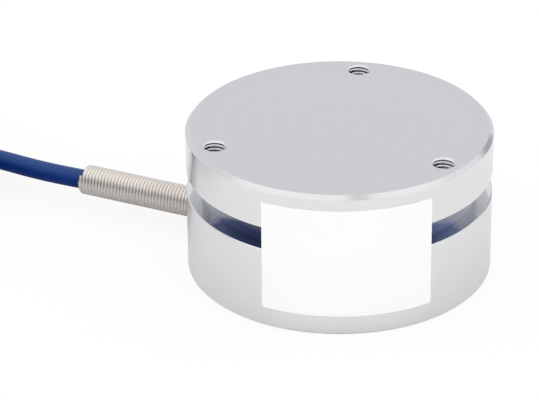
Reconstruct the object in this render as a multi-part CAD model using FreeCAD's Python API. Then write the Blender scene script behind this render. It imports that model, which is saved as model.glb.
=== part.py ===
"""Disc load cell: a turned sensing body with a waist groove, its gauges, board, cover and cable.

Millimetres. The origin is the middle of the foot ring's underside, +Z points up through the
load plate, and the cable leaves along -X.
"""
import FreeCAD, Part
import math
import os

Vec = FreeCAD.Vector
UP = Vec(0, 0, 1)
CENTRE = Vec(0, 0, 0)

# Sensing body: load plate, waist and base turned from one bar
body_d = 80.0
base_h = 21.8
groove_h = 6.0
plate_h = 11.5
groove_depth = 4.0
ring_w = 13.5              # base ring between the cavity and the outside
cavity_rise = 1.2          # the cavity ends this far above the groove
plate_chamfer = 1.05
edge_break = 0.3           # sharp edges broken on the groove and the foot

# Tapped holes at their core sizes: M6 in the load plate, M5 in the foot
plate_core_d = 5.0
foot_core_d = 4.2
countersink_w = 0.65       # flare round a thread's mouth
countersink_depth = 0.45
hole_count = 3
plate_hole_inset = 6.0     # from the outside to a hole's middle
plate_hole_depth = 8.5
foot_hole_depth = 12.0
first_plate_hole_deg = 105.0
first_foot_hole_deg = 0.0
drill_tip_deg = 118.0

# Bottom cover, gasket and cover screws
shoulder_w = 4.1           # ledge in the base that the gasket lies on
recess_depth = 3.0
gasket_t = 0.5
cover_t = 1.5
cover_gap = 0.1
gasket_gap = 0.3
cover_screw_count = 6
cover_screw_d = 2.0
cover_screw_head_d = 3.5
cover_screw_len = 6.0
cover_screw_bite_gap = 1.0  # free depth past the screw's tip
first_cover_screw_deg = 30.0
screw_gap = 0.05
socket_af = 1.25
socket_depth = 0.5

# Terminal board on the cover
board_rim_gap = 10.5       # from the cavity wall to the board's rim
board_t = 1.6
standoff_d = 4.0
standoff_h = 5.0
standoff_count = 3
board_screw_inset = 2.5    # from the board's rim to a screw's middle
board_screw_d = 2.0
board_screw_head_d = 3.4
board_screw_head_h = 1.3
board_screw_rim_h = 0.8      # straight side of the pan head
board_screw_crown_d = 2.6
board_screw_bite = 3.5
resistor_l = 3.2
resistor_w = 1.6
resistor_t = 0.7
resistor_pitch = 3.4
resistor_count = 4

# Strain gauges on the cavity wall behind the groove, and their wires
gauge_w = 9.0
gauge_h = 5.0
gauge_t = 0.12
gauge_count = 4
first_gauge_deg = 45.0
solder_d = 1.0
solder_t = 0.4
solder_pitch = 3.0
gauge_wire_d = 0.5
gauge_wire_drop = 9.0      # height above the board where a wire leaves the wall
gauge_wire_rise = 3.0      # straight height above the board at its end
gauge_wire_stand = 1.5     # from the solder dot to the wire's run down the wall
gauge_wire_inset = 0.9     # from the board's rim to the wire's end

# Cable, its spring guard, seal and crimp
cable_d = 5.4
cable_z = 7.25
spring_wire_d = 1.0
spring_id = 6.3
spring_out = 36.6          # length outside the body's wall
spring_gap = 0.1
seal_len = 2.5
seal_wall = 4.5            # from the cavity to the step that the seal stands on
cable_hole_gap = 0.3
crimp_t = 0.8
crimp_len = 4.0
crimp_wall_gap = 0.3
jacket_tail = 1.0          # jacket past the crimp
entry_lap = 11.5           # the cable's inner length ends this far inside the spring
core_d = 1.0
core_ring_r = 1.35
drain_d = 0.7
core_pitch = 2.0           # between the ends on the board
core_arch = 1.9            # rise of a core's middle above the board
core_landing = 3.4         # from the board's rim to the core's end
core_straight = 1.6        # straight length out of the jacket
core_rim_gap = 0.2         # a core is at full height this far inside the board's rim

# Cable on the ground: first points from the spring's mouth (along, across, height)
route_steps = [(-entry_lap, 0.0, cable_z), (8.5, 0.0, cable_z), (28.1, 2.0, 6.2), (45.2, 6.0, 4.4)]
route_last_run = 18.0
route_last_deg = 172.0
run_share = 0.45           # part of the shorter run that a bend takes up

# Put-away coil, tie, and the stripped end
coil_mean_d = 60.0
coil_column_count = 4
coil_row_count = 4
tie_t = 1.0
tie_w = 3.6
tie_deg = 300.0
tie_head = 5.0
tie_head_h = 3.5
tail_start_deg = 160.0
tail_sweep_deg = 45.0
tail_shift = 3.0           # tail's radius past the coil's middle
lead_d = 1.0
lead_pitch = 1.8           # between leads side by side on the coil
lead_lanes = (2, 0, -2, -1, 1)
first_lead_deg = 18.0      # place of the first lead round the jacket's cut face
lead_fall = 9.0            # length over which a lead comes down to the coil's top
lead_lengths = {"red": 34.0, "black": 31.0, "green": 33.0, "white": 30.0, "shield": 27.0}

# Label sheet round the front
label_w = 45.0
label_h = 30.0
label_z = 5.3
label_t = 0.12
label_deg = -62.8

# Heights and radii that follow from the sizes above
body_r = body_d / 2
waist_r = body_r - groove_depth
cavity_r = body_r - ring_w
plate_hole_r = body_r - plate_hole_inset
groove_top = base_h + groove_h
body_h = groove_top + plate_h
cavity_top = groove_top + cavity_rise
recess_r = cavity_r + shoulder_w
foot_hole_r = (recess_r + body_r) / 2
cover_z = recess_depth - gasket_t - cover_t
cover_top = cover_z + cover_t
cover_screw_r = cavity_r + shoulder_w / 2
board_z = cover_top + standoff_h
board_top = board_z + board_t
board_r = cavity_r - board_rim_gap
board_screw_r = board_r - board_screw_inset
cable_r = cable_d / 2
spring_r = spring_id / 2 + spring_wire_d
guard_hole_r = spring_r + spring_gap
seal_step_x = cavity_r + seal_wall
guard_end_x = seal_step_x + seal_len
cable_hole_r = cable_r + cable_hole_gap
spring_mouth_x = body_r + spring_out
crimp_outer_x = cavity_r - crimp_wall_gap
jacket_end_x = crimp_outer_x - crimp_len - jacket_tail
coil_mean_r = coil_mean_d / 2
coil_r_out = coil_mean_r + coil_column_count * cable_d / 2
coil_r_in = coil_mean_r - coil_column_count * cable_d / 2
coil_z = tie_t
coil_top = coil_z + coil_row_count * cable_d


def polar(radius, degrees, z=0.0):
    """Point at a radius and plan angle."""
    angle = math.radians(degrees)
    return Vec(radius * math.cos(angle), radius * math.sin(angle), z)


def ring_angles(count, first):
    """Plan angles of a round pattern."""
    return [first + 360.0 * k / count for k in range(count)]


def turned(profile):
    """Solid of revolution about Z from (radius, z) corners."""
    corners = [Vec(r, 0, z) for r, z in profile]
    wire = Part.makePolygon(corners + corners[:1])
    return Part.Face(wire).revolve(CENTRE, UP, 360)


def rod(radius, start, end):
    """Cylinder between two points."""
    way = end - start
    return Part.makeCylinder(radius, way.Length, start, way)


def moved(shape, offset):
    """Copy of a shape at an offset."""
    copy = shape.copy()
    copy.translate(offset)
    return copy


def patterned(shape, count, first):
    """Copies of a shape turned about Z, as one group."""
    copies = []
    for angle in ring_angles(count, first):
        copy = shape.copy()
        copy.rotate(CENTRE, UP, angle)
        copies.append(copy)
    return copies


def bent_path(points):
    """Wire of straight runs with a tangent arc at each inner point, and the arc radii."""
    edges = []
    radii = []
    start = points[0]
    for before, corner, after in zip(points, points[1:], points[2:]):
        back = before - corner
        ahead = after - corner
        reach = run_share * min(back.Length, ahead.Length)
        back.normalize()
        ahead.normalize()
        turn = math.pi - back.getAngle(ahead)
        first = corner + back * reach
        last = corner + ahead * reach
        radius = reach / math.tan(turn / 2)
        inward = back + ahead
        inward.normalize()
        middle = corner + inward * (radius / math.cos(turn / 2) - radius)
        edges.append(Part.LineSegment(start, first).toShape())
        edges.append(Part.Arc(first, middle, last).toShape())
        radii.append(radius)
        start = last
    edges.append(Part.LineSegment(start, points[-1]).toShape())
    return Part.Wire(edges), radii


def tube_along(points, diameter):
    """Round solid along a bent path."""
    path, radii = bent_path(points)
    section = Part.Wire(Part.makeCircle(diameter / 2, points[0], points[1] - points[0]))
    return path.makePipeShell([section], True, True), path.Length, radii


def fine_wire(points, diameter):
    """Thin round wire along straight runs with mitred corners."""
    path = Part.makePolygon(points)
    section = Part.Wire(Part.makeCircle(diameter / 2, points[0], points[1] - points[0]))
    return path.makePipeShell([section], True, False, 1)


def threaded_hole(diameter, depth):
    """Blind tapped hole that goes down from z = 0, with its countersink and its drill tip."""
    bore = diameter / 2
    sink = countersink_depth
    tip = depth + bore / math.tan(math.radians(drill_tip_deg / 2))
    return turned([(0, sink), (bore + 2 * countersink_w, sink), (bore, -sink), (bore, -depth), (0, -tip)])


def sensing_body():
    """Turned body with its tapped holes, cover seat and stepped cable hole."""
    b = edge_break
    solid = turned([
        (cavity_r, recess_depth), (recess_r, recess_depth), (recess_r, 0), (body_r - b, 0), (body_r, b),
        (body_r, base_h - b), (body_r - b, base_h), (waist_r, base_h), (waist_r, groove_top),
        (body_r - b, groove_top), (body_r, groove_top + b), (body_r, body_h - plate_chamfer),
        (body_r - plate_chamfer, body_h), (0, body_h), (0, cavity_top), (cavity_r, cavity_top)])
    plate_hole = moved(threaded_hole(plate_core_d, plate_hole_depth), Vec(plate_hole_r, 0, body_h))
    foot_hole = threaded_hole(foot_core_d, foot_hole_depth)
    foot_hole.rotate(CENTRE, Vec(1, 0, 0), 180)
    cuts = patterned(plate_hole, hole_count, first_plate_hole_deg)
    cuts += patterned(moved(foot_hole, Vec(foot_hole_r, 0, 0)), hole_count, first_foot_hole_deg)
    pilot_len = cover_screw_len + cover_screw_bite_gap
    pilot = Part.makeCylinder(cover_screw_d / 2 + screw_gap, pilot_len, Vec(cover_screw_r, 0, cover_z))
    cuts += patterned(pilot, cover_screw_count, first_cover_screw_deg)
    cuts.append(rod(guard_hole_r, Vec(-seal_step_x, 0, cable_z), Vec(-body_d, 0, cable_z)))
    cuts.append(rod(cable_hole_r, Vec(0, 0, cable_z), Vec(-body_d, 0, cable_z)))
    return solid.cut(cuts)


def countersunk_form(gap, length):
    """Countersunk screw form along +Z from its flat head, grown by a gap."""
    shank = cover_screw_d / 2 + gap
    head = cover_screw_head_d / 2 + gap
    return turned([(0, 0), (head, 0), (shank, head - shank), (shank, length), (0, length)])


def cover_screw():
    """One countersunk cover screw with a hexagon socket, on its circle at plan angle 0."""
    screw = countersunk_form(0.0, cover_screw_len)
    corner_r = socket_af / math.sqrt(3)
    corners = [polar(corner_r, 60.0 * k) for k in range(7)]
    socket = Part.Face(Part.makePolygon(corners)).extrude(Vec(0, 0, socket_depth))
    return moved(screw.cut(socket), Vec(cover_screw_r, 0, cover_z))


def bottom_cover():
    """Cover disc with its countersunk holes."""
    disc = Part.makeCylinder(recess_r - cover_gap, cover_t, Vec(0, 0, cover_z))
    hole = moved(countersunk_form(screw_gap, cover_screw_len), Vec(cover_screw_r, 0, cover_z))
    return disc.cut(patterned(hole, cover_screw_count, first_cover_screw_deg))


def cover_gasket():
    """Flat ring between the cover and its ledge."""
    ring = Part.makeCylinder(recess_r - gasket_gap, gasket_t, Vec(0, 0, cover_top))
    bore = Part.makeCylinder(cavity_r + gasket_gap, gasket_t, Vec(0, 0, cover_top))
    hole = Part.makeCylinder(cover_screw_d / 2 + gasket_gap, gasket_t, Vec(cover_screw_r, 0, cover_top))
    return ring.cut([bore] + patterned(hole, cover_screw_count, first_cover_screw_deg))


def board_standoff():
    """Tapped spacer on the cover, at plan angle 0."""
    place = Vec(board_screw_r, 0, cover_top)
    post = Part.makeCylinder(standoff_d / 2, standoff_h, place)
    return post.cut(Part.makeCylinder(board_screw_d / 2 + screw_gap, standoff_h, place))


def board_screw():
    """Pan-head screw through the board into a spacer, at plan angle 0."""
    head = board_screw_head_d / 2
    shank = board_screw_d / 2
    reach = board_t + board_screw_bite
    form = turned([(0, -reach), (shank, -reach), (shank, 0), (head, 0), (head, board_screw_rim_h),
                   (board_screw_crown_d / 2, board_screw_head_h), (0, board_screw_head_h)])
    return moved(form, Vec(board_screw_r, 0, board_top))


def terminal_board():
    """Round bridge board with its screw holes."""
    disc = Part.makeCylinder(board_r, board_t, Vec(0, 0, board_z))
    place = Vec(board_screw_r, 0, board_z)
    hole = Part.makeCylinder(board_screw_d / 2 + 2 * screw_gap, board_t, place)
    return disc.cut(patterned(hole, standoff_count, 0.0))


def trim_resistors():
    """Row of chip resistors across the middle of the board."""
    chips = []
    for k in range(resistor_count):
        y = (k - (resistor_count - 1) / 2) * resistor_pitch
        chips.append(Part.makeBox(resistor_l, resistor_w, resistor_t,
                                  Vec(-resistor_l / 2, y - resistor_w / 2, board_top)))
    return Part.makeCompound(chips)


def solder_offset(side):
    """Plan angle from a gauge's middle to one of its two solder dots."""
    return math.degrees(side * solder_pitch / 2 / cavity_r)


def strain_gauge(degrees):
    """Foil gauge bonded to the cavity wall, with two solder dots near its lower edge."""
    sweep = math.degrees(gauge_w / cavity_r)
    low = base_h + groove_h / 2 - gauge_h / 2
    outer = Part.makeCylinder(cavity_r, gauge_h, Vec(0, 0, low), UP, sweep)
    inner = Part.makeCylinder(cavity_r - gauge_t, gauge_h, Vec(0, 0, low), UP, sweep)
    foil = outer.cut(inner)
    foil.rotate(CENTRE, UP, degrees - sweep / 2)
    dots = []
    for side in (-1, 1):
        angle = degrees + solder_offset(side)
        dots.append(rod(solder_d / 2, polar(cavity_r - gauge_t / 2, angle, low + solder_d),
                        polar(cavity_r - gauge_t - solder_t, angle, low + solder_d)))
    return foil.fuse(dots).removeSplitter()


def gauge_wires():
    """Two wires from each gauge down to the board."""
    wires = []
    start_r = cavity_r - gauge_t - solder_t
    start_z = base_h + groove_h / 2 - gauge_h / 2 + solder_d
    bend_z = board_top + gauge_wire_drop
    for degrees in ring_angles(gauge_count, first_gauge_deg):
        for side in (-1, 1):
            angle = degrees + solder_offset(side)
            end_r = board_r - gauge_wire_inset
            points = [polar(start_r, angle, start_z), polar(start_r - gauge_wire_stand, angle, start_z),
                      polar(start_r - gauge_wire_stand, angle, bend_z),
                      polar(end_r, angle, board_top + gauge_wire_rise), polar(end_r, angle, board_top)]
            wires.append(fine_wire(points, gauge_wire_d))
    return Part.makeCompound(wires)


def core_wire(diameter, y, z, landing):
    """One inner core, from the jacket's end over the board's rim down to its landing."""
    rim = -board_r
    top = board_top + core_arch
    end = landing * core_pitch
    start = Vec(-jacket_end_x, y, cable_z + z)
    points = [start, start + Vec(core_straight, 0, 0), Vec(rim + core_rim_gap, end, top),
              Vec(rim + core_landing, end, top), Vec(rim + core_landing, end, board_top)]
    return fine_wire(points, diameter)


def spring_guard():
    """Close-wound spring guard: one ridge for each turn of its wire."""
    pitch = spring_wire_d
    length = spring_mouth_x - guard_end_x
    turns = int(round(length / pitch))
    step = length / turns
    valley = spring_r - spring_wire_d / 2
    profile = [(spring_id / 2, length), (spring_id / 2, 0)]
    for k in range(turns):
        profile.append((valley, k * step))
        profile.append((spring_r, (k + 0.5) * step))
    profile.append((valley, length))
    guard = turned(profile)
    guard.rotate(CENTRE, Vec(0, 1, 0), -90)
    return moved(guard, Vec(-guard_end_x, 0, cable_z))


def sleeve(r_in, r_out, x_from, x_to):
    """Short tube round the cable's axis."""
    start = Vec(-x_from, 0, cable_z)
    end = Vec(-x_to, 0, cable_z)
    return rod(r_out, start, end).cut(rod(r_in, start, end))


def cable_route():
    """Points of the cable from inside the spring to the coil's side."""
    points = [Vec(-spring_mouth_x - along, across, z) for along, across, z in route_steps]
    last = polar(route_last_run, route_last_deg)
    points.append(Vec(points[-1].x + last.x, points[-1].y + last.y, coil_z + cable_r))
    return points


def coil_centre():
    """Middle of the coil, which the route meets at the side of its outermost turn."""
    end = cable_route()[-1]
    side = polar(coil_r_out - cable_r, route_last_deg - 90.0)
    return Vec(end.x - side.x, end.y - side.y, 0)


def coil_section(inner):
    """Corners (radius, z) of the coil's bundle of turns, cut off at 45 degrees at its four corners."""
    r = cable_r
    outer = coil_r_out
    low = coil_z
    high = coil_top
    return [(inner + r, low), (outer - r, low), (outer, low + r), (outer, high - r),
            (outer - r, high), (inner + r, high), (inner, high - r), (inner, low + r)]


def cable_coil():
    """Outer form of the neatly wound length."""
    return moved(turned(coil_section(coil_r_in)), coil_centre())


def coil_tie():
    """Tie round the coil's section, with its lock on the top."""
    flat_in = math.sqrt(coil_r_in ** 2 - (tie_w / 2) ** 2)
    corners = coil_section(flat_in)
    loop = Part.makePolygon([Vec(r, -tie_w / 2, z) for r, z in corners + corners[:1]])
    band = Part.Face(loop.makeOffset2D(tie_t, 2)).cut(Part.Face(loop)).extrude(Vec(0, tie_w, 0))
    lock_x = coil_mean_r - tie_head / 2
    lock = Part.makeBox(tie_head, tie_head, tie_head_h, Vec(lock_x, -tie_head / 2, coil_top + tie_t / 2))
    strap = Part.makeBox(tie_head, tie_w, tie_t, Vec(lock_x, -tie_w / 2, coil_top))
    tie = band.fuse(lock.cut(strap)).removeSplitter()
    tie.rotate(CENTRE, UP, tie_deg)
    return moved(tie, coil_centre())


def tail_end():
    """Middle of the jacket's cut face on the coil, and the way it faces."""
    angle = tail_start_deg + tail_sweep_deg
    place = polar(coil_mean_r + tail_shift, angle, coil_top + cable_r) + coil_centre()
    return place, polar(1.0, angle + 90.0), polar(1.0, angle)


def cable_tail():
    """Last stretch of jacket, lying on the coil."""
    radius = coil_mean_r + tail_shift
    turn = Part.makeTorus(radius, cable_r, Vec(0, 0, coil_top + cable_r), UP, 0, 360, tail_sweep_deg)
    turn.rotate(CENTRE, UP, tail_start_deg)
    return moved(turn, coil_centre())


def stripped_lead(index, length):
    """One bare-ended lead, from the jacket's cut face down on to the coil's top."""
    face, ahead, outward = tail_end()
    spot = math.radians(360.0 / len(lead_lengths) * index + first_lead_deg)
    start = face + outward * (core_ring_r * math.cos(spot)) + UP * (core_ring_r * math.sin(spot))
    lane = coil_mean_r + tail_shift + lead_lanes[index] * lead_pitch
    points = [start, start + ahead * (lead_fall / 3)]
    for along in (lead_fall, (lead_fall + length) / 2, length):
        turn = math.degrees(along / (coil_mean_r + tail_shift))
        spot_on_top = polar(lane, tail_start_deg + tail_sweep_deg + turn, coil_top + lead_d / 2)
        points.append(spot_on_top + coil_centre())
    return tube_along(points, lead_d)[0]


def front_label():
    """Plain sheet bent round the front of the body."""
    sweep = math.degrees(label_w / body_r)
    outer = Part.makeCylinder(body_r + label_t, label_h, Vec(0, 0, label_z), UP, sweep)
    inner = Part.makeCylinder(body_r, label_h, Vec(0, 0, label_z), UP, sweep)
    sheet = outer.cut(inner)
    sheet.rotate(CENTRE, UP, label_deg - sweep / 2)
    return sheet


def build():
    """Every piece by its node's name."""
    pieces = {}
    pieces["sensing_body"] = sensing_body()
    pieces["bottom_cover"] = bottom_cover()
    pieces["cover_gasket"] = cover_gasket()
    screws = patterned(cover_screw(), cover_screw_count, first_cover_screw_deg)
    pieces["cover_screws"] = Part.makeCompound(screws)
    pieces["terminal_board"] = terminal_board()
    pieces["board_standoffs"] = Part.makeCompound(patterned(board_standoff(), standoff_count, 0.0))
    pieces["board_screws"] = Part.makeCompound(patterned(board_screw(), standoff_count, 0.0))
    pieces["trim_resistors"] = trim_resistors()
    for number, degrees in enumerate(ring_angles(gauge_count, first_gauge_deg), start=1):
        pieces["strain_gauge_%d" % number] = strain_gauge(degrees)
    pieces["gauge_wires"] = gauge_wires()
    ring = core_ring_r / math.sqrt(2)
    pieces["core_red"] = core_wire(core_d, ring, ring, 1)
    pieces["core_black"] = core_wire(core_d, -ring, ring, -1)
    pieces["core_green"] = core_wire(core_d, ring, -ring, 2)
    pieces["core_white"] = core_wire(core_d, -ring, -ring, -2)
    pieces["drain_wire"] = core_wire(drain_d, 0.0, 0.0, 0)
    pieces["crimp_sleeve"] = sleeve(cable_r, cable_r + crimp_t, crimp_outer_x - crimp_len, crimp_outer_x)
    pieces["cable_seal"] = sleeve(cable_r, guard_hole_r, seal_step_x, guard_end_x)
    pieces["cable_entry"] = rod(cable_r, Vec(-jacket_end_x, 0, cable_z), cable_route()[0])
    pieces["spring_guard"] = spring_guard()
    tube, tube_len, radii = tube_along(cable_route(), cable_d)
    coil = cable_coil()
    pieces["cable_run"] = tube.cut(coil)
    pieces["cable_coil"] = coil
    pieces["coil_tie"] = coil_tie()
    pieces["cable_tail"] = cable_tail()
    for index, (colour, length) in enumerate(lead_lengths.items()):
        pieces["lead_" + colour] = stripped_lead(index, length)
    pieces["front_label"] = front_label()
    section = math.pi * cable_r ** 2
    print("cable run: length %.1f, volume share %.4f" % (tube_len, tube.Volume / (section * tube_len)))
    print("bend radii:", ", ".join("%.1f" % radius for radius in radii))
    return pieces


def main():
    """Write one STEP file for each piece."""
    os.makedirs("parts", exist_ok=True)
    for name, shape in build().items():
        shape.exportStep("parts/%s.step" % name)
        print(name, len(shape.Solids), "solids, volume %.2f" % shape.Volume, "valid", shape.isValid())


main()
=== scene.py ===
"""Disc load cell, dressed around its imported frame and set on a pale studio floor.

Metres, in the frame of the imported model: the origin is the middle of the foot, +Z goes up through
the load plate, and the cable leaves along -X.
"""
import logging
import math
from dataclasses import dataclass
from enum import Enum
from functools import cache
from typing import Any, Callable, Optional, Sequence, Union

import bpy
from mathutils import Matrix, Vector


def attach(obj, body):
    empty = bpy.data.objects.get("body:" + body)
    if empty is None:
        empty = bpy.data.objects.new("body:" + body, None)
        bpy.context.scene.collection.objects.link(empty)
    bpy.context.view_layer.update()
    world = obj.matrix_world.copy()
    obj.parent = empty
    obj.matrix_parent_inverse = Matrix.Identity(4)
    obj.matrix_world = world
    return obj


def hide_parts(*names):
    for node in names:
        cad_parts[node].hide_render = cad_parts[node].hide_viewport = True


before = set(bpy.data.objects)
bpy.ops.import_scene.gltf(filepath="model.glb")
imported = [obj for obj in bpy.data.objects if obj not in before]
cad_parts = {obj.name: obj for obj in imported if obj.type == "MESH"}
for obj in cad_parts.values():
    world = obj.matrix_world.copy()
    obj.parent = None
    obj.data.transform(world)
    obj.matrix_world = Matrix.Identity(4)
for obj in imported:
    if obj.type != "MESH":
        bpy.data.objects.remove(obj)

LOG = logging.getLogger("load_cell")
MM = 0.001
ROOT = "root"

Piece = bpy.types.Object
Face = bpy.types.MeshPolygon
Node = bpy.types.Node
Socket = bpy.types.NodeSocket
Colour = tuple[float, float, float]
Point = tuple[float, float, float]
Corner = tuple[float, float]
Span = tuple[float, float]
Feed = Union[Socket, float, Sequence[float]]

WHOLE: Span = (0.0, 1.0)
NOISE_SPAN: Span = (0.3, 0.7)


def smoothstep(share: float) -> float:
    """Eased share between 0 and 1."""
    share = min(1.0, max(0.0, share))
    return share * share * (3.0 - 2.0 * share)


def polar(radius: float, degrees: float, height: float = 0.0) -> Vector:
    """Point at a radius and plan angle."""
    angle = math.radians(degrees)
    return Vector((radius * math.cos(angle), radius * math.sin(angle), height))


def ring_angles(count: int, first: float) -> list[float]:
    """Plan angles of a round pattern, in degrees."""
    return [first + 360.0 * k / count for k in range(count)]


def rgba(colour: Colour, dark: float = 0.0) -> tuple[float, float, float, float]:
    """Colour with full alpha, darkened by a share."""
    return (*(channel * (1.0 - dark) for channel in colour), 1.0)


class Merge(Enum):
    """How a closed form changes a piece."""

    ADD = "UNION"
    CUT = "DIFFERENCE"


class Bench:
    """Modelling moves that the sub-assemblies share."""

    SMOOTH_DEG = 30.0
    DOUBLES = 1e-7
    LEVEL = 0.9999
    UPWARD = 0.9

    @staticmethod
    def start(piece: Optional[Piece] = None) -> None:
        """Leave edit mode and select one piece, or nothing.

        Args:
            piece: The piece to select and make active.
        """
        if bpy.context.mode != "OBJECT":
            bpy.ops.object.mode_set(mode="OBJECT")
        bpy.ops.object.select_all(action="DESELECT")
        if piece is not None:
            piece.select_set(True)
            bpy.context.view_layer.objects.active = piece

    @staticmethod
    def edit(piece: Piece) -> None:
        """Open one piece in edit mode with all of it selected.

        Args:
            piece: The piece.
        """
        Bench.start(piece)
        bpy.ops.object.mode_set(mode="EDIT")
        bpy.ops.mesh.select_mode(type="VERT")
        bpy.ops.mesh.select_all(action="SELECT")

    @staticmethod
    def added(name: str) -> Piece:
        """Name the piece that was just added, and its mesh.

        Args:
            name: The name.

        Returns:
            The piece.
        """
        piece = bpy.context.object
        piece.name = name
        piece.data.name = name
        return piece

    @staticmethod
    def modify(piece: Piece, kind: str, **settings: Any) -> None:
        """Give a piece a modifier and apply it.

        Args:
            piece: The piece.
            kind: The modifier's type.
            settings: Its settings.
        """
        modifier = piece.modifiers.new(kind.lower(), kind)
        for key, value in settings.items():
            setattr(modifier, key, value)
        Bench.start(piece)
        bpy.ops.object.modifier_apply(modifier=modifier.name)

    @staticmethod
    def section(name: str, corners: Sequence[Corner], degrees: float = 0.0) -> Piece:
        """Closed outline in an upright plane through the Z axis.

        Args:
            name: Name of the piece.
            corners: (radius, height) of each corner.
            degrees: Plan angle of the plane.

        Returns:
            A loop of edges, with no face.
        """
        Bench.start()
        bpy.ops.mesh.primitive_plane_add(size=MM)
        piece = Bench.added(name)
        points = [polar(radius, degrees, height) for radius, height in corners]
        Bench.edit(piece)
        bpy.ops.mesh.merge(type="CENTER")
        bpy.ops.transform.translate(value=points[0])
        for before, after in zip(points, points[1:] + points[:1]):
            bpy.ops.mesh.extrude_vertices_move(TRANSFORM_OT_translate={"value": after - before})
        bpy.ops.mesh.select_all(action="SELECT")
        bpy.ops.mesh.remove_doubles(threshold=Bench.DOUBLES)
        Bench.start(piece)
        return piece

    @staticmethod
    def tidy(piece: Piece) -> None:
        """Merge doubles, drop loose edges and turn the faces outwards.

        Args:
            piece: The piece.
        """
        Bench.edit(piece)
        bpy.ops.mesh.remove_doubles(threshold=Bench.DOUBLES)
        bpy.ops.mesh.dissolve_degenerate(threshold=Bench.DOUBLES)
        bpy.ops.mesh.delete_loose()
        bpy.ops.mesh.select_all(action="SELECT")
        bpy.ops.mesh.normals_make_consistent(inside=False)
        Bench.start(piece)

    @staticmethod
    def lathe(name: str, corners: Sequence[Corner], steps: int) -> Piece:
        """Turned solid about the Z axis.

        Args:
            name: Name of the piece.
            corners: (radius, height) of the section's corners.
            steps: Faces round the axis.

        Returns:
            The closed piece.
        """
        piece = Bench.section(name, corners)
        Bench.edit(piece)
        bpy.ops.mesh.spin(steps=steps, angle=math.tau, center=(0, 0, 0), axis=(0, 0, 1))
        Bench.tidy(piece)
        Bench.merge_fans(piece)
        return piece

    @staticmethod
    def rod(name: str, radius: float, length: float, steps: int) -> Piece:
        """Round form up from z = 0, for cutting a plain hole."""
        return Bench.lathe(name, [(0.0, 0.0), (radius, 0.0), (radius, length), (0.0, length)], steps)

    @staticmethod
    def pick(piece: Piece, wanted: Callable[[Face], bool]) -> None:
        """Open one piece in edit mode with some of its faces selected.

        Args:
            piece: The piece.
            wanted: Says whether a face is selected.
        """
        Bench.edit(piece)
        bpy.ops.mesh.select_mode(type="FACE")
        bpy.ops.mesh.select_all(action="DESELECT")
        Bench.start(piece)
        for face in piece.data.polygons:
            face.select = wanted(face)
        bpy.ops.object.mode_set(mode="EDIT")

    @staticmethod
    def faces_up(face: Face) -> bool:
        """Whether a face looks up."""
        return face.normal.z > Bench.UPWARD

    @staticmethod
    def merge_fans(piece: Piece) -> None:
        """Make one face of each flat fan of triangles round the Z axis.

        Args:
            piece: The turned piece.
        """
        def in_fan(face: Face) -> bool:
            """Whether a level face reaches the axis."""
            reaches = (piece.data.vertices[corner].co.xy.length for corner in face.vertices)
            return abs(face.normal.z) > Bench.LEVEL and min(reaches) < Bench.DOUBLES

        Bench.pick(piece, in_fan)
        bpy.ops.mesh.dissolve_faces()
        Bench.start(piece)

    @staticmethod
    def bevel(piece: Piece, width: float, segments: int, over_deg: float) -> None:
        """Round the edges of a piece that turn by more than an angle.

        Args:
            piece: The piece.
            width: Reach of the rounding on both sides of an edge.
            segments: Faces across a rounding.
            over_deg: The angle, in degrees.
        """
        Bench.modify(piece, "BEVEL", width=width, segments=segments, limit_method="ANGLE",
                     angle_limit=math.radians(over_deg))

    @staticmethod
    def block(name: str, size: Point, middle: Point) -> Piece:
        """Block to be shaped further.

        Args:
            name: Name of the piece.
            size: Its sides.
            middle: Its middle.

        Returns:
            The block.
        """
        Bench.start()
        bpy.ops.mesh.primitive_cube_add(size=1.0)
        piece = Bench.added(name)
        Bench.edit(piece)
        bpy.ops.transform.resize(value=size)
        bpy.ops.transform.translate(value=middle)
        Bench.start(piece)
        return piece

    @staticmethod
    def copies(piece: Piece, places: Sequence[Matrix]) -> list[Piece]:
        """Copy a piece, each copy with its own mesh and its place in it, and remove the piece.

        Args:
            piece: The piece to copy.
            places: Where the copies go.

        Returns:
            The copies.
        """
        twins = []
        for place in places:
            twin = bpy.data.objects.new(piece.name + "_copy", piece.data.copy())
            twin.data.transform(place)
            bpy.context.collection.objects.link(twin)
            twins.append(twin)
        bpy.data.objects.remove(piece, do_unlink=True)
        return twins

    @staticmethod
    def join(pieces: Sequence[Piece]) -> Piece:
        """One piece of several, under the name of the first.

        Args:
            pieces: The pieces to join.

        Returns:
            The joined piece.
        """
        Bench.start(pieces[0])
        for piece in pieces[1:]:
            piece.select_set(True)
        bpy.ops.object.join()
        return pieces[0]

    @staticmethod
    def combine(piece: Piece, other: Piece, merge: Merge) -> None:
        """Add a closed form to a piece or cut it out, and remove the form.

        Args:
            piece: The piece to change.
            other: The form.
            merge: Whether it is added or cut out.
        """
        Bench.modify(piece, "BOOLEAN", operation=merge.value, solver="MANIFOLD", object=other)
        bpy.data.objects.remove(other, do_unlink=True)

    @staticmethod
    def wind(piece: Piece, axis: str, pitch: float, turns: int, steps: int) -> None:
        """Sweep a section along a right-handed helix about an axis through the origin, with closed ends.

        Args:
            piece: Loop of edges in a plane through the axis.
            axis: X, Y or Z.
            pitch: Advance in one turn, below 0 against the axis.
            turns: Number of turns.
            steps: Faces in one turn.
        """
        Bench.modify(piece, "SCREW", axis=axis, angle=math.copysign(math.tau, pitch), screw_offset=pitch,
                     iterations=turns, steps=steps, render_steps=steps, use_merge_vertices=False)
        Bench.edit(piece)
        bpy.ops.mesh.fill_holes(sides=0)
        Bench.tidy(piece)

    @staticmethod
    def to_mesh(piece: Piece) -> None:
        """Make a curve a mesh.

        Args:
            piece: The curve.
        """
        Bench.start(piece)
        bpy.ops.object.convert(target="MESH")
        Bench.tidy(piece)

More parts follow.
